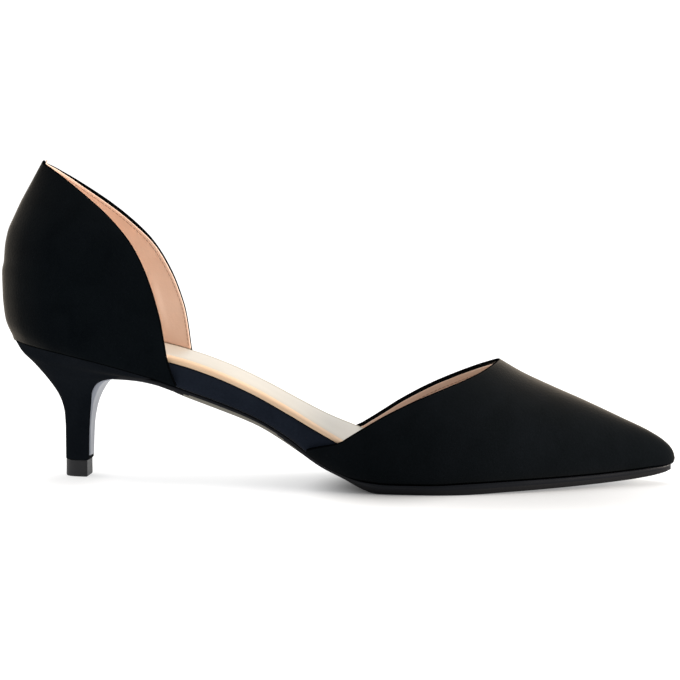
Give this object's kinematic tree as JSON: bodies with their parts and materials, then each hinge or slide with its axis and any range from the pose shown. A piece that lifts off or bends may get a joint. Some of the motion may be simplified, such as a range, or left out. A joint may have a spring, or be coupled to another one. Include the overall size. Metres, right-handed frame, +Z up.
{
  "type": "heeled shoe",
  "caption": "Right pointed-toe suede pump with open sides: separate heel counter and vamp on a slim low heel, leather sock and thin sole, standing empty.",
  "frame": {"origin": "on the floor, under the middle of the shoe's box", "axes": "+X towards the toe, +Y towards the inner side of the right foot, +Z up from the floor"},
  "size_m": [0.2486, 0.0768, 0.117],
  "materials": {
    "suede": "black suede with a short matte nap",
    "sock_leather": "pale peach smooth leather, satin",
    "sole_sheet": "black sole sheet with a glossy edge and breast",
    "tip_rubber": "dark grey dull rubber"
  },
  "bodies": {
    "root": {"vamp": "suede", "heel_counter": "suede", "insole_board": "suede", "insole_sock": "sock_leather", "outsole": "sole_sheet", "heel_block": "suede", "heel_tip": "tip_rubber"}
  },
  "joints": []
}
